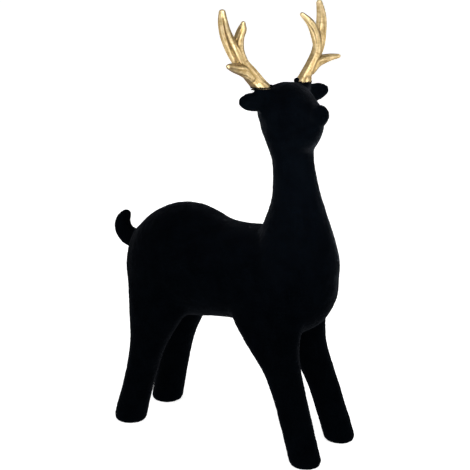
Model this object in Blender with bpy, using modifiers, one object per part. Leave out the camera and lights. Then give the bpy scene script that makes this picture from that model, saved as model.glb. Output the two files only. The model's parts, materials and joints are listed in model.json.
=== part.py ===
"""Velvet reindeer figurine: a flocked cast deer on four feet, with two gold-leafed antlers.

The deer faces -Y, its left is +X and the ground is z = 0. The body is one free form, so its
stations are thousandths of the whole figure's height. What fits together has sizes of its own.
"""

import math

import bmesh
import bpy
from mathutils import Matrix, Vector

# Driving sizes, in metres and degrees
HEIGHT = 0.400  # ground to the antler tips, of which one is a little the higher
HEAD_TURN = 22.0  # the face looks this far to the deer's right
HEAD_TILT = 1.8  # and its left side is this much the higher
# How far each antler leans back, then to the left, and then is turned (against the clock, from above)
ANTLER_SET = {"left": (9.3, 2.5, 5.5), "right": (4.6, 5.3, 6.4)}
ANTLER_FOOT_RADIUS = 0.0046  # round foot of an antler, inside its socket
SOCKET_DEPTH = 0.0070  # how far the foot goes into the head
FOOT_LAP = 0.0030  # and how far it is one with the antler above
FIT_GAP = 0.0003  # clearance all round the foot
GROOVE = 0.16  # depth of an antler's grooves, as a share of its radius

SIGN = {"left": 1, "right": -1}  # of x on the deer's two sides

# Fineness of the meshes
VOXEL = 0.0050 * HEIGHT  # grid on which the body's limbs are fused
DETAIL_VOXEL = 0.0040 * HEIGHT  # and then the nose, ears and tail
LIMB_SOFTENING = 12  # smoothing passes over the corners between limbs
DETAIL_SOFTENING = 4
BODY_TRIANGLES = 6900
RING_SIDES = 24
BALL_SIDES, BALL_RINGS = 32, 20
LIMB_STEPS = 4  # rings from one station to the next
ANTLER_STEPS = 2
ANTLER_RIDGES = 6
CAP_RINGS = 4

# Looks: linear colour, roughness, metallic
FLOCK_BLACK = ((0.004, 0.004, 0.005, 1.0), 0.95, 0.0)
LEAF_GOLD = ((0.72, 0.50, 0.22, 1.0), 0.35, 0.9)
SHARP_EDGE = 40.0  # degrees from which an edge is shaded as an edge

# The body's stations: place of the centre (x, y, z), half width, half depth
TORSO = (
    (0, 252, 381, 71, 96),
    (0, 225, 387, 87, 116),
    (0, 190, 393.5, 98, 130.5),
    (0, 150, 401, 104, 136.5),
    (0, 110, 404, 105, 135),
    (0, 70, 402, 103, 128),
    (0, 30, 397, 100, 117),
    (0, -12, 396, 99, 113),
    (0, -55, 397, 98, 114),
    (0, -100, 397, 97, 117),
    (0, -150, 391, 97, 120),
)
TORSO_ENDS = (26, 111)  # length of the rounded rump, then of the rounded chest

NECK = (
    (0, -154, 380, 90, 99),
    (0, -158, 430, 97, 104),
    (0, -160, 475, 88, 94),
    (0, -162, 512, 76, 81),
    (0, -163, 550, 64, 67),
    (0, -162, 583, 54, 57),
    (0, -157.5, 618, 48, 51),
    (0, -152, 662, 45, 47),
    (0, -147, 686, 47.5, 50),
    (0, -140, 712, 51, 54),
    (0, -131, 738, 54, 57),
)
NECK_ENDS = (72, 20)

FORE_LEG = (
    (50, -114, 345, 46, 108),
    (56, -122.5, 300, 47, 85.5),
    (61, -135.5, 262, 46, 68.5),
    (65, -150.5, 232, 44, 54.5),
    (68, -168, 200, 42, 44),
    (71, -182, 168, 40, 40),
    (75, -197, 130, 37.5, 38),
    (78, -212, 85, 36.5, 37.5),
    (81, -227, 40, 36.5, 37.5),
    (82.5, -238, 5, 37, 38),
)
HIND_LEG = (
    (48, 168, 345, 50, 96),
    (53, 176, 300, 50, 82),
    (58, 186.5, 255, 48, 65),
    (62, 198, 210, 43.5, 49),
    (67, 209, 165, 40, 41),
    (71, 221, 115, 38, 39),
    (74.5, 232.5, 70, 38.5, 39),
    (77, 243, 30, 39.5, 40),
    (77.5, 248.5, 5, 39.5, 40.5),
)
LEG_ENDS = (40, 13)

TAIL = (
    (0, 262, 428, 22, 24),
    (0, 298, 434, 22, 24),
    (0, 317, 453, 20.5, 21.5),
    (0, 315, 473, 17.5, 18),
    (0, 305, 489, 13, 13),
)
TAIL_ENDS = (10, 11)

# The head's stations, from the skull's centre: left, back, up, half width, half depth
SKULL_CENTRE = (0, -135, 776)
SKULL = (66, 67, 63)
MUZZLE = (
    (0, 0, 0, 60, 61),
    (0, -28, 0, 57, 58),
    (0, -48, 1, 49, 49),
    (0, -65, 2, 40, 39),
    (0, -82, 3, 31, 29),
    (0, -98, 3, 24, 22),
)
MUZZLE_ENDS = (20, 8)
THROAT = (
    (0, -39, -72, 42, 26),
    (0, -61, -55, 38, 23.5),
    (0, -84, -35, 30, 19),
    (0, -104, -16, 20, 14),
)
THROAT_ENDS = (12, 6)
NOSE_PLACE = (0, -110.5, 3)
NOSE = (22, 19, 24)
EAR = (
    (50, 10, 20, 11, 16.5),
    (67, 10, 25, 11, 21),
    (87, 10, 28, 10.5, 22.5),
    (105, 9, 30, 9, 19),
    (117, 8, 31, 6.5, 13),
)
EAR_ENDS = (8, 9)

# The antlers' stations, in the same frame: left, back, up, half width, half thickness
PEDICLE = ((36.5, 11.5, 22.5, 21), (51.5, 14.8, 39, 21), (59.5, 16.8, 55.6, 21))
SEAT = (22.5, 7)  # radius and reach of the flat that an antler stands on
BEAM = (
    (58.7, 16.4, 53.8, 19.8, 15.3),
    (66.2, 20.4, 64, 17.5, 13.6),
    (86, 27, 84.5, 16.4, 12.4),
    (99, 32.5, 97.5, 15.6, 11.8),
    (110.5, 37, 111.5, 15.8, 12.1),
    (120.8, 43.4, 128, 15.7, 12.9),
    (128.8, 50, 143.3, 14.7, 13.3),
    (137, 58.5, 164.8, 12.8, 12.3),
    (140.2, 66, 187.8, 10.7, 10.7),
    (138, 74.2, 211.5, 7.2, 7.2),
)
BROW_TINE = (
    (82.4, 19.7, 74.8, 9.8, 9.3),
    (108, 28, 91, 12.6, 12.1),
    (130, 27.5, 97, 10.3, 10.3),
    (146, 22.6, 100.7, 7.8, 7.8),
    (158.7, 16.3, 103, 5.4, 5.4),
)
INNER_TINE = (
    (104, 29.5, 111, 9.1, 8.6),
    (111, 38.5, 128, 11.7, 10.1),
    (107.3, 46.9, 152, 11.8, 10.4),
    (94.8, 53, 174.5, 9.8, 8.9),
)
INNER_TIP = {"left": (83.3, 67.5, 188.7, 5.8, 5.6), "right": (91.8, 54.8, 184.2, 5.8, 5.6)}
TINE_END = 7
ROOT_END = 4  # a tine's rounded root, inside the beam
BROAD_FACE = (0.83, 0.56, 0)  # the way an antler's section is widest, on the left side


def scaled(values):
    """Thousandths of the height, in metres."""
    return [value * HEIGHT / 1000 for value in values]


def through(stations, steps):
    """Stations with a smooth curve through them, in steps between each two."""
    rows = [Vector(scaled(row)) for row in stations]
    rows = [2 * rows[0] - rows[1], *rows, 2 * rows[-1] - rows[-2]]
    found = []
    for a, b, c, d in zip(rows, rows[1:], rows[2:], rows[3:]):
        for step in range(steps):
            t = step / steps
            found.append(
                0.5 * (2 * b + (c - a) * t + (2 * a - 5 * b + 4 * c - d) * t**2)
                + 0.5 * (3 * b - a - 3 * c + d) * t**3
            )
    return found + [rows[-2]]


def made(name, mesh):
    """An object of this mesh."""
    data = bpy.data.meshes.new(name)
    mesh.to_mesh(data)
    mesh.free()
    return bpy.data.objects.new(name, data)


def loft(name, stations, ends, side, facing=None, steps=LIMB_STEPS, ridges=0):
    """A closed limb of ellipses, with a rounded end of each given length, or a flat one for 0.

    The rings are square to the spine, or all face the one way that is given.
    """
    rows = through(stations, steps)
    spine = [Vector(row[:3]) for row in rows]
    radii = [(row[3], row[-1]) for row in rows]
    ahead = [(b - a).normalized() for a, b in zip([spine[0], *spine], [*spine[1:], spine[-1]])]
    ahead[0] = Vector([b - a for a, b in zip(stations[0][:3], stations[1][:3])]).normalized()
    if facing:
        ahead = [facing] * len(spine)
    rings = []
    for end, sign in ((0, -1), (-1, 1)):
        length = scaled(ends)[end] * sign
        cap = []
        for k in range(1, CAP_RINGS if length else 1):
            angle = math.pi / 2 * k / CAP_RINGS
            place = spine[end] + ahead[end] * length * math.sin(angle)
            cap.append((place, ahead[end], [r * math.cos(angle) for r in radii[end]]))
        rings.append((cap, spine[end] + ahead[end] * length))
    (first, first_tip), (last, last_tip) = rings
    stack = first[::-1] + list(zip(spine, ahead, radii)) + last

    mesh = bmesh.new()
    sides = 2 * ridges if ridges else RING_SIDES
    loops = []
    for place, forward, (wide, deep) in stack:
        across = forward.cross(side).normalized()
        along = across.cross(forward)
        loop = []
        for k in range(sides):
            angle = math.tau * k / sides
            grow = 1 + GROOVE / 2 * (-1) ** k if ridges else 1
            offset = along * wide * math.cos(angle) + across * deep * math.sin(angle)
            loop.append(mesh.verts.new(place + grow * offset))
        loops.append(loop)
    for lower, upper in zip(loops, loops[1:]):
        for k in range(sides):
            j = (k + 1) % sides
            mesh.faces.new((lower[k], lower[j], upper[j], upper[k]))
    for tip, loop in ((first_tip, loops[0]), (last_tip, loops[-1])):
        pole = mesh.verts.new(tip)
        for k in range(sides):
            mesh.faces.new((loop[k], loop[(k + 1) % sides], pole))
    bmesh.ops.recalc_face_normals(mesh, faces=mesh.faces)
    return made(name, mesh)


def ball(name, centre, radii):
    """An ellipsoid."""
    mesh = bmesh.new()
    bmesh.ops.create_uvsphere(mesh, u_segments=BALL_SIDES, v_segments=BALL_RINGS, radius=1)
    bmesh.ops.scale(mesh, vec=scaled(radii), verts=mesh.verts)
    bmesh.ops.translate(mesh, vec=scaled(centre), verts=mesh.verts)
    return made(name, mesh)


def mirrored(stations):
    """The same stations on the deer's right side."""
    return [(-row[0], *row[1:]) for row in stations]


def head_frame():
    """Turns the head's own frame about the skull's centre and puts it on the neck."""
    turn = Matrix.Rotation(-math.radians(HEAD_TURN), 4, "Z")
    tilt = Matrix.Rotation(-math.radians(HEAD_TILT), 4, "Y")
    return Matrix.Translation(scaled(SKULL_CENTRE)) @ turn @ tilt


def socket_frame(side):
    """The head's frame with the small turn of one antler, about the middle of its own foot."""
    foot = Matrix.Translation(scaled((SIGN[side] * BEAM[0][0], *BEAM[0][1:3])))
    turns = [Matrix.Rotation(math.radians(angle), 4, axis) for angle, axis in zip(ANTLER_SET[side], "XYZ")]
    return head_frame() @ foot @ turns[0] @ turns[1] @ turns[2] @ foot.inverted()


def keep(obj, collection):
    collection.objects.link(obj)
    return obj


def settled(obj):
    """The object with its modifiers made part of its mesh."""
    bpy.context.view_layer.update()
    graph = bpy.context.evaluated_depsgraph_get()
    data = bpy.data.meshes.new_from_object(obj.evaluated_get(graph))
    obj.modifiers.clear()
    obj.data = data
    return obj


def joined(name, pieces, collection):
    """One object with all the pieces' faces, which still overlap."""
    mesh = bmesh.new()
    for piece in pieces:
        mesh.from_mesh(piece.data)
        bpy.data.objects.remove(piece)
    return keep(made(name, mesh), collection)


def fused(obj, voxel, softening):
    """Overlapping closed shapes become one skin, and its inner corners become fillets."""
    remesh = obj.modifiers.new("fuse", "REMESH")
    remesh.mode = "VOXEL"
    remesh.voxel_size = voxel
    smooth = obj.modifiers.new("soften", "SMOOTH")
    smooth.factor = 0.5
    smooth.iterations = softening
    return settled(obj)


def thinned(obj, triangles):
    """Fewer faces, spent where the form turns."""
    count = sum(len(face.vertices) - 2 for face in obj.data.polygons)
    thin = obj.modifiers.new("thin", "DECIMATE")
    thin.ratio = triangles / count
    return settled(obj)


def cut(obj, cutter):
    difference = obj.modifiers.new(f"cut by {cutter.name}", "BOOLEAN")
    difference.operation = "DIFFERENCE"
    difference.solver = "EXACT"
    difference.object = cutter
    return settled(obj)


def united(obj, other):
    union = obj.modifiers.new(f"join {other.name}", "BOOLEAN")
    union.operation = "UNION"
    union.solver = "EXACT"
    union.object = other
    settled(obj)
    bpy.data.objects.remove(other)
    return obj


def foot_rod(name, side, radius, depth, reach):
    """A round rod on an antler's own line, from this deep in the head to this far out of it."""
    rim, upper = (Vector(scaled((SIGN[side] * row[0], *row[1:3]))) for row in BEAM[:2])
    line = (upper - rim).normalized()
    mesh = bmesh.new()
    bmesh.ops.create_cone(
        mesh,
        cap_ends=True,
        segments=RING_SIDES,
        radius1=radius,
        radius2=radius,
        depth=depth + reach,
    )
    turn = Vector((0, 0, 1)).rotation_difference(line).to_matrix().to_4x4()
    middle = Matrix.Translation(rim + line * (reach - depth) / 2)
    bmesh.ops.transform(mesh, matrix=socket_frame(side) @ middle @ turn, verts=mesh.verts)
    return made(name, mesh)


def guide(obj, collection):
    """A cutter, which is no part of the figure."""
    obj.hide_render = True
    obj.display_type = "WIRE"
    return keep(obj, collection)


def make_body(parts, cutters):
    """Torso, legs, neck, head and tail, fused into one casting that stands on flat soles."""
    x_axis, y_axis, z_axis = Matrix.Identity(3)
    limbs = [
        loft("torso", TORSO, TORSO_ENDS, x_axis, facing=-y_axis),
        loft("neck", NECK, NECK_ENDS, x_axis, facing=z_axis),
    ]
    for leg in (FORE_LEG, HIND_LEG):
        limbs.append(loft("left leg", leg, LEG_ENDS, x_axis, facing=-z_axis))
        limbs.append(loft("right leg", mirrored(leg), LEG_ENDS, x_axis, facing=-z_axis))

    head = [
        ball("skull", (0, 0, 0), SKULL),
        loft("muzzle", MUZZLE, MUZZLE_ENDS, x_axis),
        loft("throat", THROAT, THROAT_ENDS, x_axis),
    ]
    for side in (PEDICLE, mirrored(PEDICLE)):
        head.append(loft("pedicle", side, (0, 0), y_axis))
    details = [ball("nose", NOSE_PLACE, NOSE)]
    for side in (EAR, mirrored(EAR)):
        details.append(loft("ear", side, EAR_ENDS, y_axis))
    for piece in head + details:
        piece.data.transform(head_frame())
    details.append(loft("tail", TAIL, TAIL_ENDS, x_axis))

    core = fused(joined("core", limbs + head, parts), VOXEL, LIMB_SOFTENING)
    body = fused(joined("body", [core, *details], parts), DETAIL_VOXEL, DETAIL_SOFTENING)
    thinned(body, BODY_TRIANGLES)

    cut(body, guide(ground_block(), cutters))
    for side in SIGN:
        bore = ANTLER_FOOT_RADIUS + FIT_GAP
        socket = foot_rod(f"{side}_socket", side, bore, SOCKET_DEPTH + FIT_GAP, FOOT_LAP)
        radius, reach = scaled(SEAT)
        seat = foot_rod(f"{side}_seat", side, radius, FIT_GAP, reach)
        cut(body, guide(seat, cutters))
        cut(body, guide(socket, cutters))
    return body


def ground_block():
    """All that lies under z = 0, so that the soles come out flat."""
    mesh = bmesh.new()
    bmesh.ops.create_cube(mesh, size=HEIGHT)
    bmesh.ops.scale(mesh, vec=(2, 2, 1), verts=mesh.verts)
    bmesh.ops.translate(mesh, vec=(0, 0, -HEIGHT / 2), verts=mesh.verts)
    return made("ground", mesh)


def make_antler(side, parts):
    """A grooved beam with two tines, on a round foot that fills its socket."""
    broad = Vector((SIGN[side] * BROAD_FACE[0], *BROAD_FACE[1:]))
    pieces = []
    for label, stations, start in (
        ("beam", BEAM, 0),
        ("brow", BROW_TINE, ROOT_END),
        ("inner", (*INNER_TINE, INNER_TIP[side]), ROOT_END),
    ):
        rows = [(SIGN[side] * row[0], *row[1:]) for row in stations]
        piece = loft(label, rows, (start, TINE_END), broad, steps=ANTLER_STEPS, ridges=ANTLER_RIDGES)
        piece.data.transform(socket_frame(side))
        pieces.append(keep(piece, parts))
    antler, *others = pieces
    foot = foot_rod("foot", side, ANTLER_FOOT_RADIUS, SOCKET_DEPTH, FOOT_LAP)
    for other in (*others, keep(foot, parts)):
        united(antler, other)
    antler.name = f"antler_{side}"
    antler.data.name = antler.name
    return antler


def finish(obj, name, look):
    """One material of the piece's own, and smooth shading up to its sharp edges."""
    colour, roughness, metallic = look
    material = bpy.data.materials.new(name)
    material.use_nodes = True
    shader = material.node_tree.nodes["Principled BSDF"]
    shader.inputs["Base Color"].default_value = colour
    shader.inputs["Roughness"].default_value = roughness
    shader.inputs["Metallic"].default_value = metallic
    obj.data.materials.clear()
    obj.data.materials.append(material)
    obj.data.shade_smooth()
    obj.data.set_sharp_from_angle(angle=math.radians(SHARP_EDGE))


def centred(parts, cutters):
    """Puts the middle of the figure's box over the origin."""
    corners = [vertex.co for part in parts.objects for vertex in part.data.vertices]
    middle = [(min(c[k] for c in corners) + max(c[k] for c in corners)) / 2 for k in (0, 1)]
    for obj in (*parts.objects, *cutters.objects):
        obj.data.transform(Matrix.Translation((-middle[0], -middle[1], 0)))


def main():
    for obj in list(bpy.data.objects):
        bpy.data.objects.remove(obj)
    parts = bpy.data.collections.new("velvet reindeer")
    cutters = bpy.data.collections.new("cutters")
    for collection in (parts, cutters):
        bpy.context.scene.collection.children.link(collection)
    body = make_body(parts, cutters)
    antlers = [make_antler(side, parts) for side in SIGN]
    finish(body, "black flock", FLOCK_BLACK)
    for antler in antlers:
        finish(antler, f"{antler.name} gold leaf", LEAF_GOLD)
    centred(parts, cutters)


main()
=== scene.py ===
"""Dresses the velvet reindeer figurine: black flock on the casting, antiqued gold leaf on the antlers."""

import json
import math

import bmesh
import bpy
import numpy as np
from bpy.props import FloatProperty, FloatVectorProperty, PointerProperty
from mathutils import Matrix, Vector

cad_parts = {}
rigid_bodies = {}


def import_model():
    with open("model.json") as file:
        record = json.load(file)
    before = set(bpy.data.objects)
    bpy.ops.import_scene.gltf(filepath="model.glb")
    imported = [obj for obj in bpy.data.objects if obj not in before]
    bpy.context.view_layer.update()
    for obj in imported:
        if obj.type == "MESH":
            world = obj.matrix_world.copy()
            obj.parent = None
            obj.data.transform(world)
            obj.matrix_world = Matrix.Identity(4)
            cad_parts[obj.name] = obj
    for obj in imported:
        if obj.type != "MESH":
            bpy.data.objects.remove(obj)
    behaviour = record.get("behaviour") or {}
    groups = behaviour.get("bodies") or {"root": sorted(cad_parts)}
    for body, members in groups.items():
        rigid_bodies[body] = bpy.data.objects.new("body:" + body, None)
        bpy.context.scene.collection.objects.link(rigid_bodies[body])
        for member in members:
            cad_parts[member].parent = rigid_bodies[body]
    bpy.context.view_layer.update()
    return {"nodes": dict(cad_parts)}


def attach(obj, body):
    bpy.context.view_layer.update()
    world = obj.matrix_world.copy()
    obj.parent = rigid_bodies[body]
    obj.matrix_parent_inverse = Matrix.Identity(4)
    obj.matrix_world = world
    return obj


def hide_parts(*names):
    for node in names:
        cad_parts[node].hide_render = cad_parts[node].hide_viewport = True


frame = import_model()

bl_info = {
    "name": "Velvet reindeer figurine",
    "version": (1, 0, 0),
    "blender": (4, 5, 0),
    "location": "3D View > Sidebar > Reindeer",
    "description": "Models and finishes a flocked reindeer with gold-leafed antlers over its CAD frame",
    "category": "Object",
}

HEIGHT = 0.400  # the figure's height, of which the stations below are thousandths
CENTRING = (-0.00146, -0.01304, 0.0)  # from the frame in which the head is placed to the row's own

# The head: the skull's centre, how far the face looks to the deer's right, and how it leans
SKULL_CENTRE = (0, -135, 776)
HEAD_TURN = 22.0
HEAD_TILT = 1.8
# How far each antler leans back, then to the left, and then is turned (against the clock, from above)
ANTLER_SET = {"left": (9.3, 2.5, 5.5), "right": (4.6, 5.3, 6.4)}
SIGN = {"left": 1, "right": -1}
SOCKET_PLACE = (58.7, 16.4, 53.8)  # where the left antler stands, from the skull's centre: left, back, up

# The left antler's branches, in the same frame, with their half width and half thickness
BEAM = (
    (54.8, 13, 53.8, 14.9, 15.3),
    (65.6, 19.8, 64, 16.7, 13.6),
    (86, 27, 84.5, 16.4, 12.4),
    (99, 32.5, 97.5, 15.6, 11.8),
    (110.5, 37, 111.5, 15.8, 12.1),
    (120.8, 43.4, 128, 15.7, 12.9),
    (128.8, 50, 143.3, 14.7, 13.3),
    (137, 58.5, 164.8, 12.8, 12.3),
    (140.2, 66, 187.8, 10.7, 10.7),
)
BEAM_TIP = {"left": (138, 74.2, 211.5, 7.2, 7.2), "right": (138.4, 72.8, 206.5, 7.6, 7.6)}
BROW_TINE = (
    (82.4, 19.7, 74.8, 9.8, 9.3),
    (108, 28, 91, 12.6, 12.1),
    (130, 27.5, 97, 10.3, 10.3),
    (146, 22.6, 100.7, 7.8, 7.8),
    (158.7, 16.3, 103, 5.4, 5.4),
)
INNER_TINE = (
    (104, 29.5, 111, 9.1, 8.6),
    (111, 38.5, 128, 11.7, 10.1),
    (107.3, 46.9, 152, 11.8, 10.4),
    (94.8, 53, 174.5, 9.8, 8.9),
)
INNER_TIP = {"left": (83.3, 67.5, 188.7, 5.8, 5.6), "right": (91.8, 54.8, 184.2, 5.8, 5.6)}
BROAD_FACE = (0.83, 0.56, 0)  # the way a branch is widest
SHADE_SIDE = (0.58, 0.30, -0.76)  # the way the faces look, mostly down, on which shade is painted under the beam and the brow tine
UNSHADED_WAY = {"left": (-0.64, -0.67, 0.37), "right": (0.67, -0.69, 0.28)}  # the way the faces look that are left bright; shade is painted on faces turned side-on to it
TIP_LENGTH = 7
ROOT_LENGTH = 4

# Carving along the branches: the station it passes, the way it faces there (degrees round from the
# deer's left towards its back), half width, and how deep a groove cuts or how high a ridge stands
MAIN_GROOVE = (
    (8.75, -50, 0.8, 0.5),
    (8.25, -52, 1.3, 1.4),
    (7.5, -57, 1.9, 2.2),
    (7, -55, 2.4, 2.7),
    (6.375, -50, 3.1, 3.1),
    (5.75, -44, 3.9, 3.2),
    (4.875, -32, 4.8, 2.6),
    (4.25, -20, 4.8, 1.0),
)
INNER_GROOVE = (
    (3.75, -184, 0.9, 0.5),
    (3.25, -176, 1.6, 1.4),
    (2.875, -162, 2.2, 2.2),
    (2.375, -142, 2.6, 2.2),
    (1.75, -136, 2.4, 1.4),
    (1, -140, 1.6, 0.3),
)
FRONT_GROOVE = (
    (2.875, -46, 0.9, 0.5),
    (2.25, -42, 2.2, 1.5),
    (1.75, -32, 3.0, 1.5),
    (1.25, -26, 2.4, 0.3),
)
OUTER_RIDGE = (
    (8.75, -82, 1.4, 0.4),
    (7.75, -86, 2.6, 1.2),
    (6.875, -86, 3.0, 1.5),
    (6.125, -86, 3.2, 1.6),
    (5.25, -80, 3.4, 1.6),
    (4.375, -70, 3.2, 1.3),
    (3.5, -60, 2.2, 0.3),
)
# Brown stains that aren't carved: the branch's station, facing and half width
FORK_STAIN = ((2.875, -20, 4.0, 0), (2.25, -16, 6.0, 0), (1.5, -14, 6.5, 0))
THROAT_STAIN = ((4.75, -154, 2.2, 0), (4.125, -152, 2.0, 0), (3.25, -146, 1.4, 0))

# The seam where the flock ends round an antler's foot, in metres
SEAM_RISE = 0.0012  # how far up the beam its middle is
SEAM_UP = (0.07, 0.07, 0.99)  # the way it faces
FLOCK_THICKNESS = 0.0009  # how far the flock stands out from the gold there
SKIRT_LENGTH = 0.0065  # how far the gold goes on under the seam
SLEEVE_LAP = 0.0010  # and the flock's sleeve beyond that
SLEEVE_TOP = 0.012  # the sleeve's length over the socket, before it is cut level
CLEARED = (0.0125, 0.020)  # radius and height of what is cut away over the seam
# The hollow behind the foot: the way it faces, how far out its middle is, its radius, and how far down
UNDERCUT = (43, 0.0057, 0.0052, 0.0056)
# Round the foot, by facing: swellings of the gold with their radius, knobs of flock with their radius
# and their rise over the seam, and one long lock of pile with its length
LOBES = ((-20, 0.0020), (-64, 0.0023), (-108, 0.0025), (-150, 0.0023), (170, 0.0021), (120, 0.0018))
LOBE_RISE = 0.0022
LOBE_SUNK = 0.76  # how far its middle lies inside the beam, in radii
LOBE_STRETCH = 2.1  # half its length along the beam, in radii
KNOBS = {
    "left": ((172, 0.0027, 0.0008), (-38, 0.0012, 0)),
    "right": ((-140, 0.0016, 0.0014), (150, 0.0020, 0)),
}
KNOB_HEIGHT = 0.85  # half its height, in radii
LONG_LOCK = (43, 0.0046)
LOCK_FALL = 0.16  # how steeply it falls
LOCK_DROP = 0.0030  # how far its root is under the seam
LOCK_SUNK = 0.001  # and inside the flock
TUFTS = 88
TUFT_WIDTH = 0.0011
TUFT_LENGTH = (0.0014, 0.0005, 0.0004)  # its middle value, and two waves of it round the seam

# Grain of the pile: its lie, its tips, and the pile of a knob
PILE_LIE = 0.012
PILE_TIPS = 0.0026
KNOB_PILE = 0.0012

# Where the brown wash lies: how often a hollow's skin is smoothed to find it, and how deep a full one
# is; how far a groove's wash reaches, in half widths; and the last station with painted shade on the
# faces turned down, under the beam, the brow tine and the inner tine
HOLLOWS = {"hollow": (12, 0.00022), "crotch": (150, 0.0011)}
WASH_REACH = 1.35
SHADE_STATIONS = (3, 5, 0)

# The soft lights: place, the point each looks at, size, share of the key light's power, and spread
LIGHTS = {
    "key": ((-0.45, -0.75, 1.45), (0, -0.06, 0.29), 0.8, 1.0, 180),
    "back": ((-0.8, 1.0, 1.3), (0, 0, 0.25), 1.3, 0.55, 180),
    "face": ((-0.75, -0.60, 0.34), (0, -0.07, 0.27), 0.12, 0.016, 16),
    "brow": ((0.35, -0.95, 0.65), (0, -0.10, 0.24), 0.2, 0.004, 20),
}
FLOOR_SIZE = 30

# Where the camera stood, in the row's frame, and how it looked: degrees from +Y towards +X, and down
CAMERA_PLACE = (-0.9488, -0.6036, 0.4861)
CAMERA_HEADING = 58.09
CAMERA_PITCH = 14.81

# Fineness of the stations' curves: steps from one station to the next
BRANCH_STEPS = 3
FACE_STEPS = 8
GRAIN_STEPS = 6


def metres(station):
    """A place in thousandths of the height, in metres."""
    return Vector(station) * HEIGHT / 1000


def thousandths(place):
    """A place in metres, in thousandths of the height."""
    return Vector(place) * 1000 / HEIGHT


def way(facing):
    """The level direction that faces so many degrees round from the deer's left towards its back."""
    angle = math.radians(facing)
    return Vector((math.cos(angle), math.sin(angle), 0))


def turn_to(line):
    """Turns a piece's own z axis to this line."""
    return line.to_track_quat("Z", "Y").to_matrix().to_4x4()


def only(obj):
    """Selects this object alone and makes it the active one."""
    bpy.ops.object.select_all(action="DESELECT")
    obj.select_set(True)
    bpy.context.view_layer.objects.active = obj


def copy_of_node(node, name):
    """A copy of a CAD node, with its loose triangles sewn into one skin."""
    obj = another(frame["nodes"][node])
    for key in list(obj.keys()):
        del obj[key]
    called(obj, name)
    obj.parent = None
    only(obj)
    bpy.ops.object.mode_set(mode="EDIT")
    bpy.ops.mesh.select_all(action="SELECT")
    bpy.ops.mesh.remove_doubles(threshold=1e-6)
    bpy.ops.object.mode_set(mode="OBJECT")
    return obj


def modify(obj, kind, **settings):
    """Adds a modifier with these settings and applies it."""
    only(obj)
    modifier = obj.modifiers.new(kind.title(), kind)
    for key, value in settings.items():
        setattr(modifier, key, value)
    bpy.ops.object.modifier_apply(modifier=modifier.name)


def grain_texture(name, size):
    """A cloudy pattern with grains of this size, for raising and sinking a surface."""
    texture = bpy.data.textures.new(name, "CLOUDS")
    texture.noise_scale = size
    texture.noise_depth = 2
    return texture


def roughen(obj, name, size, height):
    """Raises and sinks the surface along its own normals, by this height from trough to crest."""
    modify(
        obj,
        "DISPLACE",
        texture=grain_texture(name, size),
        texture_coords="LOCAL",
        strength=height,
        mid_level=0.5,
    )


def head_frame():
    """Turns the head's own frame about the skull's centre and puts it on the neck."""
    turn = Matrix.Rotation(-math.radians(HEAD_TURN), 4, "Z")
    tilt = Matrix.Rotation(-math.radians(HEAD_TILT), 4, "Y")
    return Matrix.Translation(CENTRING) @ Matrix.Translation(metres(SKULL_CENTRE)) @ turn @ tilt


def socket_frame(side):
    """The head's frame with the small turns of one antler, about the middle of its own foot."""
    foot = Matrix.Translation(metres((SIGN[side] * SOCKET_PLACE[0], *SOCKET_PLACE[1:])))
    turns = [Matrix.Rotation(math.radians(angle), 4, axis) for angle, axis in zip(ANTLER_SET[side], "XYZ")]
    return head_frame() @ foot @ turns[0] @ turns[1] @ turns[2] @ foot.inverted()


def seat(obj, side):
    """Puts a piece that was modelled for the left antler on this side's seat."""
    if side == "right":
        obj.data.transform(Matrix.Scale(-1, 4, (1, 0, 0)))
        obj.data.flip_normals()
    obj.data.transform(socket_frame(side))


def foot_line():
    """The middle of the left antler's foot, and the way its beam rises from there."""
    rim, upper = (metres(row[:3]) for row in BEAM[:2])
    return rim, (upper - rim).normalized()


def seam_point(angle, proud=0.0, rise=0.0):
    """A point of the seam round the left antler's foot, at this turn from its broad side."""
    rim, line = foot_line()
    axes = ring_frame(line, Vector(BROAD_FACE))
    wide, thick = (size * HEIGHT / 1000 + proud for size in BEAM[0][3:])
    up = Vector(SEAM_UP).normalized()
    spoke = rim + axes @ Vector((wide * math.cos(angle), thick * math.sin(angle), 0))
    climb = (rim + line * (SEAM_RISE + rise) - spoke).dot(up) / line.dot(up)
    return spoke + line * climb


def seam_towards(direction, proud=0.0, rise=0.0):
    """The point of the seam that lies in this direction from the middle of the foot."""
    local = ring_frame(foot_line()[1], Vector(BROAD_FACE)).transposed() @ direction
    return seam_point(math.atan2(local.y, local.x), proud, rise)


def another(obj):
    """A copy of a piece, with its own mesh."""
    twin = obj.copy()
    twin.data = obj.data.copy()
    bpy.context.scene.collection.objects.link(twin)
    return twin


def called(obj, name):
    """Names a piece and its mesh."""
    obj.name = name
    obj.data.name = name


def through(stations, steps):
    """Stations with a smooth curve through them, in metres, in steps between each two."""
    rows = [np.array(row) * HEIGHT / 1000 for row in stations]
    rows = [2 * rows[0] - rows[1], *rows, 2 * rows[-1] - rows[-2]]
    found = []
    for a, b, c, d in zip(rows, rows[1:], rows[2:], rows[3:]):
        for step in range(steps):
            t = step / steps
            bend = (c - a) * t + (2 * a - 5 * b + 4 * c - d) * t**2 + (3 * b - a - 3 * c + d) * t**3
            found.append(b + bend / 2)
    return found + [rows[-2]]


def ring_frame(forward, broad):
    """Axes of a ring square to its line: along the broad face, across it, and forward."""
    across = forward.cross(broad).normalized()
    along = across.cross(forward)
    return Matrix((along, across, forward)).transposed()


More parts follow.
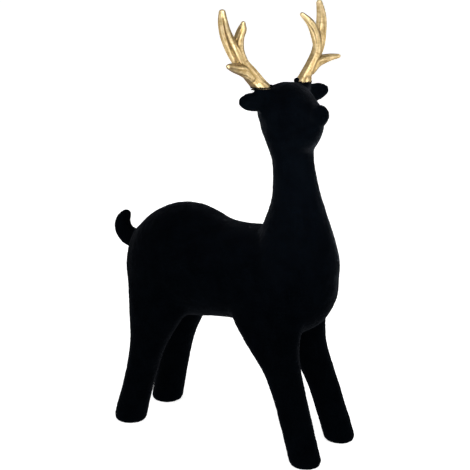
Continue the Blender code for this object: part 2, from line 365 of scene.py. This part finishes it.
def branch(name, stations, root, tip, broad, flutes, steps=BRANCH_STEPS, sides=36):
    """One branch: a fluted disc at its root, drawn out ring by ring and closed with a round tip."""
    rows = through(stations, steps)
    places = [Vector(row[:3]) for row in rows]
    sizes = [(row[3], row[4]) for row in rows]
    ahead = [(b - a).normalized() for a, b in zip([places[0], *places], [*places[1:], places[-1]])]
    ahead[0] = (Vector(stations[1][:3]) - Vector(stations[0][:3])).normalized()
    unit = HEIGHT / 1000
    caps = 5
    before, after = [], []
    for length, cap, end, sign in ((root, before, 0, -1), (tip, after, -1, 1)):
        for k in range(1, caps if length else 1):
            angle = math.pi / 2 * k / caps
            place = places[end] + ahead[end] * sign * length * unit * math.sin(angle)
            cap.append((place, ahead[end], [size * math.cos(angle) for size in sizes[end]]))
    stack = before[::-1] + list(zip(places, ahead, sizes)) + after

    place, forward, (wide, thick) = stack[0]
    axes = ring_frame(forward, broad)
    bpy.ops.object.select_all(action="DESELECT")
    bpy.ops.mesh.primitive_circle_add(vertices=sides, radius=1, fill_type="NGON")
    obj = bpy.context.object
    obj.name = name
    bpy.ops.object.mode_set(mode="EDIT")
    mesh = bmesh.from_edit_mesh(obj.data)
    for vertex in mesh.verts:
        vertex.co *= 1 + flutes(math.atan2(vertex.co.y, vertex.co.x))
        vertex.co = place + axes @ Vector((vertex.co.x * wide, vertex.co.y * thick, 0))
    bmesh.update_edit_mesh(obj.data)
    for (old, old_ahead, old_size), (new, new_ahead, new_size) in zip(stack, stack[1:]):
        old_axes = ring_frame(old_ahead, broad)
        new_axes = ring_frame(new_ahead, broad)
        bpy.ops.mesh.extrude_region_move(TRANSFORM_OT_translate={"value": new - old})
        mesh = bmesh.from_edit_mesh(obj.data)
        stretch = Matrix.Diagonal([b / a for a, b in zip(old_size, new_size)] + [1])
        turn = new_axes @ stretch @ old_axes.transposed()
        for vertex in mesh.verts:
            if vertex.select:
                vertex.co = new + turn @ (vertex.co - new)
        bmesh.update_edit_mesh(obj.data)
    bpy.ops.mesh.select_all(action="SELECT")
    bpy.ops.mesh.normals_make_consistent(inside=False)
    bpy.ops.object.mode_set(mode="OBJECT")
    return obj


def face_line(stations, marks):
    """Stations of a line that lies on a branch's face, at these marks."""
    rows = through(stations, FACE_STEPS)
    half = FACE_STEPS // 2
    path = []
    for at, facing, wide, deep in marks:
        number = round(at * FACE_STEPS)
        row = rows[number] * 1000 / HEIGHT
        after, before = rows[min(number + half, len(rows) - 1)], rows[max(number - half, 0)]
        ahead = Vector((after - before)[:3])
        out = way(facing)
        out = (out - ahead * out.dot(ahead) / ahead.length_squared).normalized()
        share = out.dot(Vector(BROAD_FACE).normalized())
        reach = math.hypot(row[3] * share, row[4] * math.sqrt(1 - share**2))
        path.append((*(Vector(row[:3]) + out * reach), wide, deep))
    return path


def plain(angle):
    """The outline of a branch without flutes."""
    return 0


def rod_on_face(name, stations, marks):
    """A rod that lies along a branch's face, half sunk in it, for cutting a groove or raising a ridge."""
    middle = math.radians(marks[len(marks) // 2][1])
    across = Vector((-math.sin(middle), math.cos(middle), 0))
    return branch(name, face_line(stations, marks), 3, 3, across, plain, steps=4, sides=16)


def join(pieces):
    """One object of several, under the first one's name."""
    bpy.ops.object.select_all(action="DESELECT")
    for piece in pieces:
        piece.select_set(True)
    bpy.context.view_layer.objects.active = pieces[0]
    bpy.ops.object.join()
    return pieces[0]


def ball(name, centre, sizes, line):
    """A small round swelling, this long along a line and this wide across it."""
    bpy.ops.object.select_all(action="DESELECT")
    bpy.ops.mesh.primitive_uv_sphere_add(segments=20, ring_count=12, radius=1)
    obj = bpy.context.object
    obj.name = name
    across, length = sizes
    shape = Matrix.Diagonal((across, across, length, 1))
    obj.data.transform(Matrix.Translation(centre) @ turn_to(line) @ shape)
    return obj


def carve(obj, cutter):
    """Cuts one shape out of another and drops the cutter."""
    modify(obj, "BOOLEAN", operation="DIFFERENCE", solver="EXACT", object=cutter)
    bpy.data.objects.remove(cutter)


def read(mesh, what):
    """The place or normal of every vertex, one to a row."""
    values = np.empty(len(mesh.vertices) * 3)
    mesh.vertices.foreach_get(what, values)
    return values.reshape(-1, 3)


def keep(mesh, name, kind, field, values):
    """Stores one value or vector on every vertex."""
    layer = mesh.attributes.new(name, kind, "POINT")
    layer.data.foreach_set(field, values.astype(np.float32).ravel())


def one_skin(obj):
    """Drops the scraps that a remesh leaves inside, and keeps the skin on which the piece stands."""
    lowest = int(read(obj.data, "co")[:, 2].argmin())
    only(obj)
    bpy.ops.object.mode_set(mode="EDIT")
    bpy.ops.mesh.select_all(action="DESELECT")
    bpy.ops.object.mode_set(mode="OBJECT")
    obj.data.vertices[lowest].select = True
    bpy.ops.object.mode_set(mode="EDIT")
    bpy.ops.mesh.select_linked()
    bpy.ops.mesh.select_all(action="INVERT")
    bpy.ops.mesh.delete(type="VERT")
    bpy.ops.object.mode_set(mode="OBJECT")


def stand(obj):
    """Presses flat what would hang under the ground, so that the soles stand on it."""
    place = read(obj.data, "co")
    place[:, 2] = np.maximum(place[:, 2], 0)
    obj.data.vertices.foreach_set("co", place.ravel())
    obj.data.update()


def mark_hollows(obj, name, passes, depth):
    """A value on each vertex: 1 in grooves and crotches this deep, 0 on open faces, -1 on ridges."""
    mesh = obj.data
    place = read(mesh, "co")
    ends = np.empty(len(mesh.edges) * 2, int)
    mesh.edges.foreach_get("vertices", ends)
    ends = ends.reshape(-1, 2)
    share = np.bincount(ends.ravel(), minlength=len(place))[:, None]
    soft = place.copy()
    for _ in range(passes):
        total = np.zeros_like(soft)
        for axis in range(3):
            total[:, axis] = np.bincount(ends[:, 0], soft[ends[:, 1], axis], len(place))
            total[:, axis] += np.bincount(ends[:, 1], soft[ends[:, 0], axis], len(place))
        soft = (soft + total / share) / 2
    sunk = ((soft - place) * read(mesh, "normal")).sum(1)
    keep(mesh, name, "FLOAT", "value", np.clip(sunk / depth, -1, 1))


def mark_grooves(obj, grooves):
    """A value on each vertex: 1 along the middle of a groove or stain, 0 outside it."""
    place = read(obj.data, "co")
    wash = np.zeros(len(place))
    for stations, marks in grooves:
        for row in through(face_line(stations, marks), FACE_STEPS):
            reach = np.linalg.norm(place - row[:3], axis=1) / row[3]
            wash = np.maximum(wash, np.clip(WASH_REACH - reach, 0, 1))
    keep(obj.data, "wash", "FLOAT", "value", wash)


def mark_edge_shade(obj, look):
    """A value on each vertex: 1 where its face looks this way, front and back, 0 side-on, where the sides get
    painted shade.
    """
    keep(obj.data, "unshaded_facing", "FLOAT", "value", np.abs(read(obj.data, "normal") @ np.array(look)))


def mark_grain(obj, branches):
    """Each vertex's place across and along its own branch, and how much shade is painted on it where it faces
    down.
    """
    place = read(obj.data, "co")
    nearest = np.full(len(place), np.inf)
    grain = np.zeros_like(place)
    under = np.zeros(len(place))
    facing = read(obj.data, "normal") @ np.array(Vector(SHADE_SIDE).normalized())
    length = 0.0
    for stations, shaded in branches:
        rows = np.array(through(stations, GRAIN_STEPS))
        for number, row in enumerate(rows):
            before, after = rows[max(number - 1, 0), :3], rows[min(number + 1, len(rows) - 1), :3]
            length += float(np.linalg.norm(row[:3] - before))
            forward = Vector(after - before).normalized()
            offset = place - row[:3]
            near = np.linalg.norm(offset, axis=1) / row[3]
            closer = near < nearest
            nearest[closer] = near[closer]
            local = offset[closer] @ np.array(ring_frame(forward, Vector(BROAD_FACE)))
            grain[closer] = local + (0, 0, length)
            under[closer] = 1.0 if number / GRAIN_STEPS < shaded else 0.0
    keep(obj.data, "grain", "FLOAT_VECTOR", "vector", grain)
    # under: shade painted on the faces turned down, up to each branch's last shaded station
    keep(obj.data, "under", "FLOAT", "value", under * np.clip(facing, 0, 1))


class Signal:
    """A shader socket on which sums are written as plain expressions."""

    def __init__(self, finish, socket):
        self.finish = finish
        self.socket = socket

    def maths(self, operation, *values):
        return self.finish.node("Math", {"operation": operation}, dict(enumerate(values)))

    def __add__(self, other):
        return self.maths("ADD", self, other)

    def __sub__(self, other):
        return self.maths("SUBTRACT", self, other)

    def __rsub__(self, other):
        return self.maths("SUBTRACT", other, self)

    def __mul__(self, other):
        return self.maths("MULTIPLY", self, other)

    __radd__ = __add__
    __rmul__ = __mul__


class Finish:
    """One material, or the light of the room, built node by node."""

    def __init__(self, owner):
        self.owner = owner
        self.owner.use_nodes = True
        self.tree = self.owner.node_tree
        self.tree.nodes.clear()

    def node(self, kind, settings=None, inputs=None, output=0):
        """Adds a node: its settings first, then the values or links of its sockets."""
        node = self.tree.nodes.new("ShaderNode" + kind)
        for key, value in (settings or {}).items():
            setattr(node, key, value)
        for key, value in (inputs or {}).items():
            if isinstance(value, Signal):
                self.tree.links.new(value.socket, node.inputs[key])
            else:
                node.inputs[key].default_value = value
        return Signal(self, node.outputs[output]) if node.outputs else node

    def place(self):
        """Where a point is on the piece."""
        return self.node("TexCoord", output=3)

    def noise(self, scale, detail=2.0, roughness=0.5, vector=None, distortion=0.0):
        values = {"Vector": vector or self.place(), "Scale": scale, "Detail": detail}
        values.update({"Roughness": roughness, "Distortion": distortion})
        return self.node("TexNoise", {}, values)

    def between(self, value, low, high):
        """0 below low, 1 above high, and smooth between them."""
        settings = {"interpolation_type": "SMOOTHSTEP"}
        return self.node("MapRange", settings, {"Value": value, "From Min": low, "From Max": high})

    def blend(self, factor, first, second):
        """A colour that goes from the first to the second."""
        first, second = ((*c, 1) if isinstance(c, tuple) else c for c in (first, second))
        return self.node("Mix", {"data_type": "RGBA"}, {0: factor, 6: first, 7: second}, output=2)

    def bump(self, height, distance, strength=1.0, under=None):
        values = {"Height": height, "Distance": distance, "Strength": strength}
        if under:
            values["Normal"] = under
        return self.node("Bump", {}, values)

    def surface(self, **sockets):
        """The shader itself, on the material's output."""
        named = {key.replace("_", " "): value for key, value in sockets.items()}
        shader = self.node("BsdfPrincipled", {}, named)
        self.node("OutputMaterial", {}, {"Surface": shader})
        return self.owner


class FlockSettings(bpy.types.PropertyGroup):
    """Sizes and colours of the black flock."""

    grid: FloatProperty(
        name="Skin grid", description="Spacing of the skin's mesh", default=0.00140, unit="LENGTH"
    )
    nap: FloatProperty(
        name="Nap", description="Unevenness of the pile's tips", default=0.0007, unit="LENGTH"
    )
    pile: FloatVectorProperty(
        name="Pile colour",
        description="Colour deep in the pile",
        default=(0.00035, 0.0006, 0.0010),
        subtype="COLOR",
    )
    fibre: FloatVectorProperty(
        name="Fibre colour",
        description="Colour of the fibres' tips",
        default=(0.0012, 0.0019, 0.0029),
        subtype="COLOR",
    )
    sheen: FloatProperty(
        name="Sheen",
        description="How bright the pile shines edge-on",
        default=0.036,
        min=0,
        max=1,
    )


class AntlerSettings(bpy.types.PropertyGroup):
    """Sizes and colours of the gold-leafed antlers."""

    grid: FloatProperty(name="Antler grid", description="Spacing of the mesh", default=0.00036, unit="LENGTH")
    flute: FloatProperty(
        name="Flutes", description="Depth of the flutes, as a share of the radius", default=0.034
    )
    leaf: FloatVectorProperty(
        name="Leaf colour",
        description="Colour of the gold leaf",
        default=(0.40, 0.268, 0.100),
        subtype="COLOR",
    )
    pale: FloatVectorProperty(
        name="Pale leaf",
        description="Colour of the leaf where it is thickest",
        default=(0.77, 0.605, 0.345),
        subtype="COLOR",
    )
    # colour of the brown wash in the grooves, also used for the painted shade along the sides and under the
    # branches
    patina_and_shade: FloatVectorProperty(
        name="Patina",
        description="Colour of the brown wash in the grooves",
        default=(0.066, 0.036, 0.012),
        subtype="COLOR",
    )
    edge: FloatVectorProperty(
        name="Edge colour",
        description="Tint of the leaf seen edge-on",
        default=(0.22, 0.15, 0.08),
        subtype="COLOR",
    )


class StudioSettings(bpy.types.PropertyGroup):
    """The studio around the figure."""

    lens: FloatProperty(name="Lens", description="Focal length in millimetres", default=96.83)
    floor: FloatVectorProperty(
        name="Floor colour",
        description="Colour of the paper under the figure",
        default=(0.95, 0.95, 0.95),
        subtype="COLOR",
    )
    glow: FloatProperty(name="Floor glow", description="Light that shines up through the floor", default=0.80)
    walls: FloatProperty(name="Walls", description="Brightness of the room's white walls", default=1.0)
    sky: FloatProperty(name="Ceiling", description="Brightness of the room overhead", default=0.22)
    key: FloatProperty(
        name="Key light", description="Power of the large soft light", default=11.0, unit="POWER"
    )


def flock_finish(settings):
    """Short dense pile: nearly black, with tiny lighter tips and a soft shine where it is seen edge-on."""
    finish = Finish(bpy.data.materials.new("black flock"))
    fine = finish.noise(1500.0, 3.0, 0.6)
    brushed = finish.noise(70.0, 3.0, 0.55, distortion=0.4)
    tips = finish.between(fine * 0.7 + brushed * 0.3, 0.40, 0.68)
    colour = finish.blend(tips, tuple(settings.pile), tuple(settings.fibre))
    relief = finish.bump(fine, 0.0004, 0.9)
    relief = finish.bump(brushed, 0.0012, 0.35, relief)
    return finish.surface(
        Base_Color=colour,
        Roughness=1.0,
        Normal=relief,
        Specular_IOR_Level=0.0,
        Sheen_Weight=settings.sheen,
        Sheen_Roughness=0.30,
        Sheen_Tint=(0.80, 0.86, 1.0, 1.0),
    )


def leaf_finish(settings):
    """Antiqued gold leaf: satin, streaked along the branches, with a brown wash left in every hollow, and
    shade painted in the same brown along the sides and on the faces turned down.
    """
    finish = Finish(bpy.data.materials.new("antiqued gold leaf"))
    marks = ("hollow", "crotch", "wash", "under", "unshaded_facing")
    hollow, crotch, wash, under, unshaded_facing = (
        finish.node("Attribute", {"attribute_name": name}, output=2) for name in marks
    )
    grain = finish.node("Attribute", {"attribute_name": "grain"}, output=1)
    lengthwise = finish.node("VectorMath", {"operation": "MULTIPLY"}, {0: grain, 1: (1.0, 1.0, 0.12)})
    crosswise = finish.node("VectorMath", {"operation": "MULTIPLY"}, {0: grain, 1: (0.22, 0.22, 1.0)})
    streak = finish.noise(640.0, 3.0, 0.6, lengthwise) - 0.5
    wrinkle = finish.noise(620.0, 3.0, 0.6, crosswise) - 0.5
    mottle = finish.noise(330.0, 3.0, 0.6, distortion=0.5) - 0.5
    speck = finish.noise(1500.0, 3.0, 0.6) - 0.5

    sunk = finish.between(wash + mottle * 1.5 + streak * 0.9, 0.30, 1.05)
    corners = finish.between(hollow * 1.2 + crotch * 1.2 + mottle * 1.3 + streak * 0.9, 0.26, 1.0)
    # painted shade: speckled dark brown on the faces turned down, under the brow tine and the lower beam
    underside_shade = finish.between(under + wrinkle * 1.1 + speck * 0.3, 0.24, 0.62)
    # painted shade: brown laid along the sides, where the faces turn side-on to the bright way
    sides = 1.0 - finish.between(unshaded_facing + mottle * 0.35 + streak * 0.25, 0.15, 0.88)
    # brown: the wash in grooves and hollows, together with the painted shade under the branches and along
    # their sides
    brown = sunk.maths("MAXIMUM", sunk * 0.85, corners)
    brown = brown.maths("MAXIMUM", brown, underside_shade)
    brown = brown.maths("MAXIMUM", brown, sides * 0.62)
    thick = finish.between(streak * 1.6 + wrinkle * 1.2 + mottle * 1.1 - hollow * 1.1, -0.38, 0.72)
    leaf = finish.blend(thick, tuple(settings.leaf), tuple(settings.pale))
    colour = finish.blend(brown * 0.83, leaf, tuple(settings.patina_and_shade))
    rough = brown * 0.24 + speck * 0.12 + 0.35
    metal = 1.0 - brown * 0.55
    relief = finish.bump(streak, 0.00045, 0.55)
    relief = finish.bump(wrinkle, 0.00030, 0.50, relief)
    relief = finish.bump(speck, 0.00012, 0.45, relief)
    return finish.surface(
        Base_Color=colour,
        Roughness=rough,
        Metallic=metal,
        Normal=relief,
        Specular_IOR_Level=0.3,
        Specular_Tint=(*settings.edge, 1.0),
        Coat_Weight=0.08,
        Coat_Roughness=0.40,
    )


def settle(obj, material, slot, *nodes):
    """Gives a finished piece its one material, its smooth shading and its place in the frame."""
    obj.data.materials.clear()
    obj.data.materials.append(material)
    only(obj)
    bpy.ops.object.shade_smooth()
    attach(obj, "root")
    if nodes:
        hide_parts(*nodes)


class REINDEER_OT_body(bpy.types.Operator):
    """Covers the casting with a skin of black flock, which rises round the antlers' feet to a level seam"""

    bl_idname = "reindeer.body"
    bl_label = "Flocked body"

    def execute(self, context):
        settings = context.scene.reindeer_flock
        skin = copy_of_node("body", "flocked_body")
        rim, line = foot_line()
        up = Vector(SEAM_UP).normalized()
        middle = rim + line * SEAM_RISE
        pile = FLOCK_THICKNESS * 1000 / HEIGHT
        sizes = [size + pile for size in BEAM[0][3:]]
        low, high = (thousandths(rim + line * rise) for rise in (-SKIRT_LENGTH - SLEEVE_LAP, SLEEVE_TOP))
        ends = ((*low, *sizes), (*high, *sizes))
        radius, height = CLEARED
        facing, reach, size, depth = UNDERCUT
        pieces = [skin]
        for side in SIGN:
            bpy.ops.object.select_all(action="DESELECT")
            bpy.ops.mesh.primitive_cylinder_add(
                vertices=48, radius=radius, depth=height, location=(0, 0, height / 2)
            )
            above = context.object
            bpy.ops.object.transform_apply(location=True, rotation=True, scale=True)
            above.data.transform(Matrix.Translation(middle) @ turn_to(up))
            seat(above, side)
            sleeve = branch("sleeve", ends, 0, 0, Vector(BROAD_FACE), plain)
            seat(sleeve, side)
            modify(sleeve, "BOOLEAN", operation="DIFFERENCE", solver="EXACT", object=above)
            carve(skin, above)
            pieces.append(sleeve)
            hollow = ball("undercut", middle + way(facing) * reach - up * depth, (size, size), up)
            seat(hollow, side)
            carve(skin, hollow)
        skin = join(pieces)
        modify(skin, "REMESH", mode="VOXEL", voxel_size=settings.grid)
        one_skin(skin)
        modify(skin, "SMOOTH", factor=0.5, iterations=8)
        roughen(skin, "lie of the pile", PILE_LIE, settings.nap * 0.7)
        roughen(skin, "tips of the pile", PILE_TIPS, settings.nap)
        stand(skin)
        settle(skin, flock_finish(settings), "flock", "body")
        return {"FINISHED"}


def tuft(name, root, towards, length, thickness):
    """A tapered lock of pile: a small cone, pinched towards its tip."""
    bpy.ops.object.select_all(action="DESELECT")
    bpy.ops.mesh.primitive_circle_add(vertices=7, radius=thickness, fill_type="NGON")
    obj = bpy.context.object
    obj.name = name
    bpy.ops.object.mode_set(mode="EDIT")
    for share, size in ((0.45, 0.8), (0.35, 0.6), (0.20, 0.35)):
        bpy.ops.mesh.extrude_region_move(TRANSFORM_OT_translate={"value": (0, 0, length * share)})
        bpy.ops.transform.resize(value=(size, size, 1))
    bpy.ops.mesh.select_all(action="SELECT")
    bpy.ops.mesh.normals_make_consistent(inside=False)
    bpy.ops.object.mode_set(mode="OBJECT")
    obj.data.transform(Matrix.Translation(root) @ turn_to(towards))
    return obj


class REINDEER_OT_tufts(bpy.types.Operator):
    """Sets ragged locks of pile along the seam round each antler's foot, with knobs and one long lock"""

    bl_idname = "reindeer.tufts"
    bl_label = "Tufts at the antlers"

    def execute(self, context):
        line = foot_line()[1]
        lock = tuft("lock", Vector((0, 0, 0)), Vector((0, 0, 1)), 1.0, 0.45)
        pieces = []
        usual, wave, ripple = TUFT_LENGTH
        for number in range(TUFTS):
            angle = 2 * math.pi * number / TUFTS
            length = usual + wave * math.sin(number * 2.4) + ripple * math.sin(number * 5.3)
            root = seam_point(angle, FLOCK_THICKNESS * 0.6, -0.0004)
            out = (root - seam_point(angle, -FLOCK_THICKNESS, -0.0006)).normalized()
            lean = 0.55 + 0.35 * math.sin(number * 3.7)
            side = line.cross(out) * 0.5 * math.sin(number * 1.9)
            towards = (line + out * lean + side).normalized()
            piece = another(lock)
            shape = Matrix.Diagonal((TUFT_WIDTH, TUFT_WIDTH, length, 1))
            piece.data.transform(Matrix.Translation(root) @ turn_to(towards) @ shape)
            pieces.append(piece)
        bpy.data.objects.remove(lock)
        facing, length = LONG_LOCK
        away = (way(facing) + Vector((0, 0, -LOCK_FALL))).normalized()
        root = seam_towards(away, 0.0, -LOCK_DROP)
        pieces.append(tuft("long lock", root - away * LOCK_SUNK, away, length, TUFT_WIDTH))
        master = join(pieces)
        material = flock_finish(context.scene.reindeer_flock)
        for side in SIGN:
            collar = another(master)
            knobs = []
            for facing, size, rise in KNOBS[side]:
                knob = ball("knob", seam_towards(way(facing), 0.0, rise), (size, size * KNOB_HEIGHT), line)
                roughen(knob, "knob pile", KNOB_PILE, 0.0005)
                knobs.append(knob)
            collar = join([collar, *knobs])
            called(collar, f"flock_tufts_{side}")
            seat(collar, side)
            settle(collar, material, "flock")
        bpy.data.objects.remove(master)
        return {"FINISHED"}


def flutes(depth):
    """Uneven lengthwise ridges round a branch."""

    def share(angle):
        return depth * math.cos(6 * angle) + 0.45 * depth * math.cos(11 * angle + 1.3)

    return share


class REINDEER_OT_antlers(bpy.types.Operator):
    """Models a fluted antler with its carved grooves for each side, and sets it on the head"""

    bl_idname = "reindeer.antlers"
    bl_label = "Gold-leafed antlers"

    def execute(self, context):
        settings = context.scene.reindeer_antlers
        broad = Vector(BROAD_FACE)
        cut = flutes(settings.flute)
        rim, line = foot_line()
        brow = branch("brow tine", BROW_TINE, ROOT_LENGTH, TIP_LENGTH, broad, cut)
        low, high = (thousandths(rim + line * rise) for rise in (-SKIRT_LENGTH, 0.001))
        skirt = branch("skirt", ((*low, *BEAM[0][3:]), (*high, *BEAM[0][3:])), 0, 0, broad, cut)
        lobes = []
        for facing, size in LOBES:
            place = seam_towards(way(facing), -size * LOBE_SUNK, LOBE_RISE)
            lobes.append(ball("lobe", place, (size, size * LOBE_STRETCH), line))
        stem = join([brow, skirt, *lobes])
        material = leaf_finish(settings)
        for side in SIGN:
            beam = (*BEAM, BEAM_TIP[side])
            tine = (*INNER_TINE, INNER_TIP[side])
            upper = branch("beam", beam, 0, TIP_LENGTH, broad, cut)
            inner = branch("inner tine", tine, ROOT_LENGTH, TIP_LENGTH, broad, cut)
            antler = join([another(stem), upper, inner, rod_on_face("ridge", beam, OUTER_RIDGE)])
            modify(antler, "REMESH", mode="VOXEL", voxel_size=settings.grid)
            grooves = ((beam, MAIN_GROOVE), (tine, INNER_GROOVE), (tine, FRONT_GROOVE))
            for stations, marks in grooves:
                carve(antler, rod_on_face("groove", stations, marks))
            modify(antler, "REMESH", mode="VOXEL", voxel_size=settings.grid)
            modify(antler, "SMOOTH", factor=0.5, iterations=6)
            for name, (passes, depth) in HOLLOWS.items():
                mark_hollows(antler, name, passes, depth)
            mark_grooves(antler, (*grooves, (tine, FORK_STAIN), (beam, THROAT_STAIN)))
            mark_grain(antler, zip((beam, BROW_TINE, tine), SHADE_STATIONS))
            mark_edge_shade(antler, UNSHADED_WAY[side])
            called(antler, f"gilded_antler_{side}")
            seat(antler, side)
            settle(antler, material, "gold_leaf", f"antler_{side}")
        bpy.data.objects.remove(stem)
        return {"FINISHED"}


def light(name, place, target, size, power, spread):
    """A square soft light that looks at a point, with its beam this many degrees wide."""
    data = bpy.data.lights.new(name, "AREA")
    data.size = size
    data.energy = power
    data.spread = math.radians(spread)
    obj = bpy.data.objects.new(name, data)
    bpy.context.scene.collection.objects.link(obj)
    obj.location = place
    obj.rotation_euler = (Vector(target) - Vector(place)).to_track_quat("-Z", "Y").to_euler()


class REINDEER_OT_studio(bpy.types.Operator):
    """Lays the pale floor and sets the soft lights and the camera"""

    bl_idname = "reindeer.studio"
    bl_label = "Studio"

    def execute(self, context):
        scene = context.scene
        settings = scene.reindeer_studio
        bpy.ops.object.select_all(action="DESELECT")
        bpy.ops.mesh.primitive_plane_add(size=FLOOR_SIZE)
        floor = context.object
        floor.name = "floor"
        paper = Finish(bpy.data.materials.new("floor paper"))
        tone = paper.blend(paper.noise(40.0) * 0.04, tuple(settings.floor), (0.90, 0.90, 0.90))
        glow = {"Emission_Color": (1, 1, 1, 1), "Emission_Strength": settings.glow}
        floor.data.materials.append(paper.surface(Base_Color=tone, Roughness=0.9, **glow))

        room = Finish(bpy.data.worlds.new("studio"))
        rise = room.node("SeparateXYZ", {}, {0: room.node("TexCoord")}, output=2)
        strength = room.between(rise, 0.05, 0.5) * (settings.sky - settings.walls) + settings.walls
        background = room.node("Background", {}, {"Color": (1.0, 1.0, 1.0, 1.0), "Strength": strength})
        room.node("OutputWorld", {}, {"Surface": background})
        scene.world = room.owner
        for name, (place, target, size, share, spread) in LIGHTS.items():
            light(name, place, target, size, settings.key * share, spread)

        data = bpy.data.cameras.new("photo")
        camera = bpy.data.objects.new("photo", data)
        scene.collection.objects.link(camera)
        camera.location = CAMERA_PLACE
        heading, pitch = math.radians(CAMERA_HEADING), math.radians(CAMERA_PITCH)
        look = Vector(
            (math.sin(heading) * math.cos(pitch), math.cos(heading) * math.cos(pitch), -math.sin(pitch))
        )
        camera.rotation_mode = "QUATERNION"
        camera.rotation_quaternion = look.to_track_quat("-Z", "Y")
        data.sensor_width = 36.0
        data.lens = settings.lens
        data.clip_start = 0.05
        data.clip_end = 60.0
        scene.camera = camera
        scene.view_settings.view_transform = "Standard"
        return {"FINISHED"}


class REINDEER_PT_panel(bpy.types.Panel):
    """Lists the steps in the order in which the figure is made"""

    bl_label = "Velvet reindeer"
    bl_idname = "REINDEER_PT_panel"
    bl_space_type = "VIEW_3D"
    bl_region_type = "UI"
    bl_category = "Reindeer"

    def draw(self, context):
        for step in STEPS:
            self.layout.operator(step.bl_idname)


SETTINGS = {
    "reindeer_flock": FlockSettings,
    "reindeer_antlers": AntlerSettings,
    "reindeer_studio": StudioSettings,
}
STEPS = (REINDEER_OT_body, REINDEER_OT_antlers, REINDEER_OT_tufts, REINDEER_OT_studio)


def register():
    for kind in (*SETTINGS.values(), *STEPS, REINDEER_PT_panel):
        bpy.utils.register_class(kind)
    for name, kind in SETTINGS.items():
        setattr(bpy.types.Scene, name, PointerProperty(type=kind))


def unregister():
    for name in SETTINGS:
        delattr(bpy.types.Scene, name)
    for kind in (REINDEER_PT_panel, *STEPS[::-1], *SETTINGS.values()):
        bpy.utils.unregister_class(kind)


def main():
    register()
    bpy.ops.reindeer.studio()
    bpy.ops.reindeer.body()
    bpy.ops.reindeer.antlers()
    bpy.ops.reindeer.tufts()


if __name__ == "__main__":
    main()
